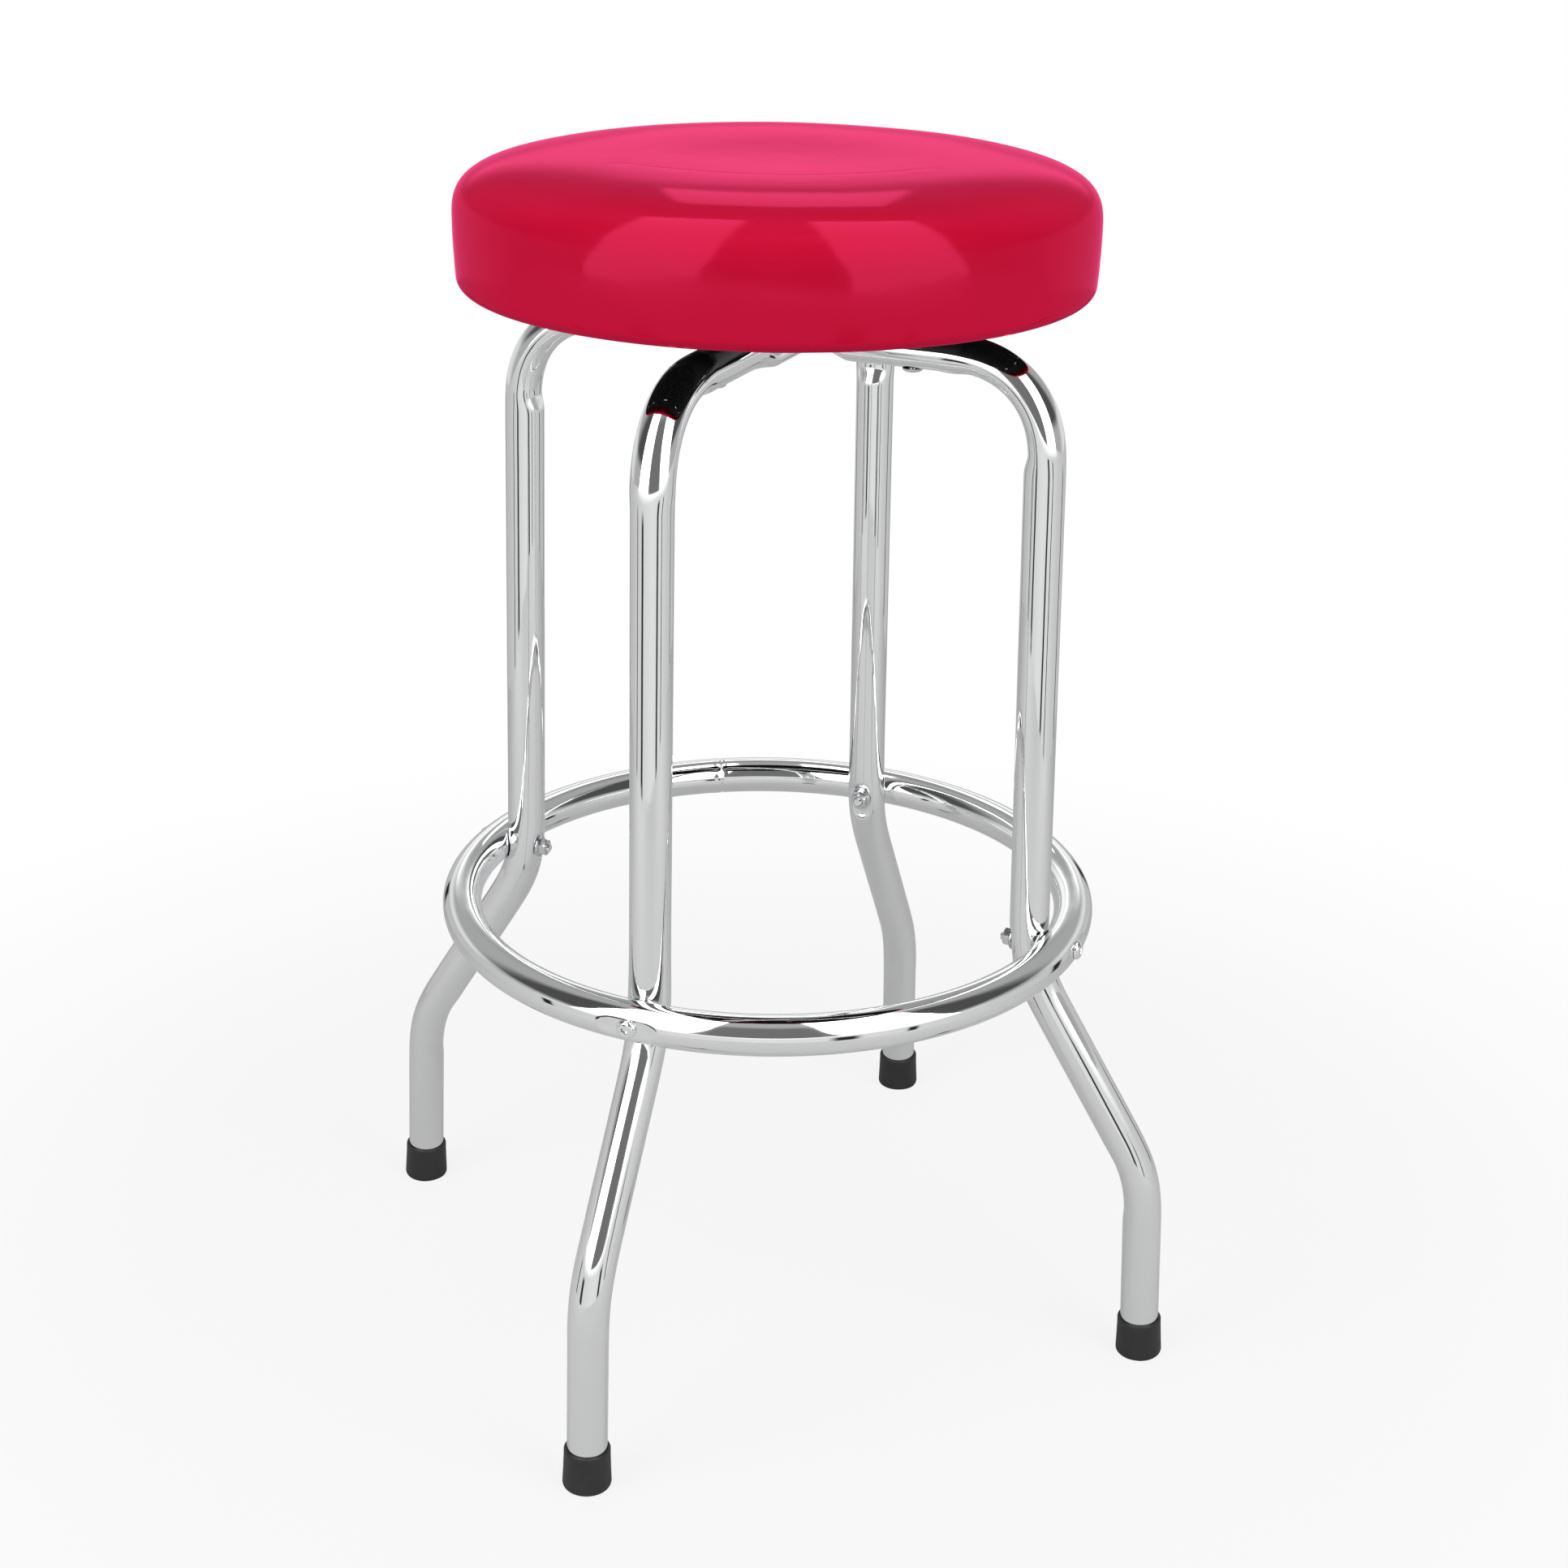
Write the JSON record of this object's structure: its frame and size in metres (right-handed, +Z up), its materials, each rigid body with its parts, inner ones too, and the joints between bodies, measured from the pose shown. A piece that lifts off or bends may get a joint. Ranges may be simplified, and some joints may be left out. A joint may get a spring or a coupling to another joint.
{
  "type": "swivel bar stool",
  "caption": "Bar stool with a round padded seat that swivels on a ball bearing plate, on crossed bent tube hoops tied by a foot ring, with rubber feet.",
  "frame": {"origin": "on the floor, on the seat's turning axis, which is the centre of the four feet", "axes": "+Z up along the turning axis; the legs stand on +X (front right in the picture), +Y (back right), -X (back left) and -Y (front left)"},
  "size_m": [0.5532, 0.5532, 0.7315],
  "materials": {
    "red_vinyl": "glossy red vinyl with a fine grain",
    "foam": "cream polyurethane foam",
    "plywood": "plywood stained black",
    "black_cloth": "black non-woven cloth",
    "zinc_steel": "zinc plated steel",
    "black_plate": "black painted pressed steel",
    "ball_steel": "polished bearing steel",
    "chrome": "polished chrome plate on steel tube",
    "black_rubber": "matte black rubber"
  },
  "bodies": {
    "frame": {"leg_hoop_upper": "chrome", "leg_hoop_lower": "chrome", "hoop_bolts": "zinc_steel", "hoop_nuts": "zinc_steel", "foot_ring": "chrome", "swivel_base_plate": "black_plate", "swivel_pivot": "zinc_steel", "pivot_washer": "zinc_steel", "ring_screw_front_right": "chrome", "ring_screw_back_right": "chrome", "ring_screw_back_left": "chrome", "ring_screw_front_left": "chrome", "ring_nut_front_right": "zinc_steel", "ring_nut_back_right": "zinc_steel", "ring_nut_back_left": "zinc_steel", "ring_nut_front_left": "zinc_steel", "rubber_foot_front_right": "black_rubber", "rubber_foot_back_right": "black_rubber", "rubber_foot_back_left": "black_rubber", "rubber_foot_front_left": "black_rubber"},
    "ball_ring": {"swivel_balls": "ball_steel", "ball_retainer": "zinc_steel"},
    "seat": {"seat_cover": "red_vinyl", "seat_foam": "foam", "seat_board": "plywood", "dust_cover": "black_cloth", "cover_staples": "zinc_steel", "seat_tee_nuts": "zinc_steel", "seat_plate_screws": "zinc_steel", "swivel_top_plate": "black_plate"}
  },
  "joints": [
    {"name": "seat_swivel", "type": "hinge", "parent": "frame", "child": "seat", "pos_m": [0, 0, 0.649], "axis": [0, 0, 1], "continuous": true},
    {"name": "ball_ring_orbit", "type": "hinge", "parent": "frame", "child": "ball_ring", "pos_m": [0, 0, 0.649], "axis": [0, 0, 1], "continuous": true}
  ],
  "couplings": [
    {"joint": "ball_ring_orbit", "follows": "seat_swivel", "ratio": 0.5}
  ]
}
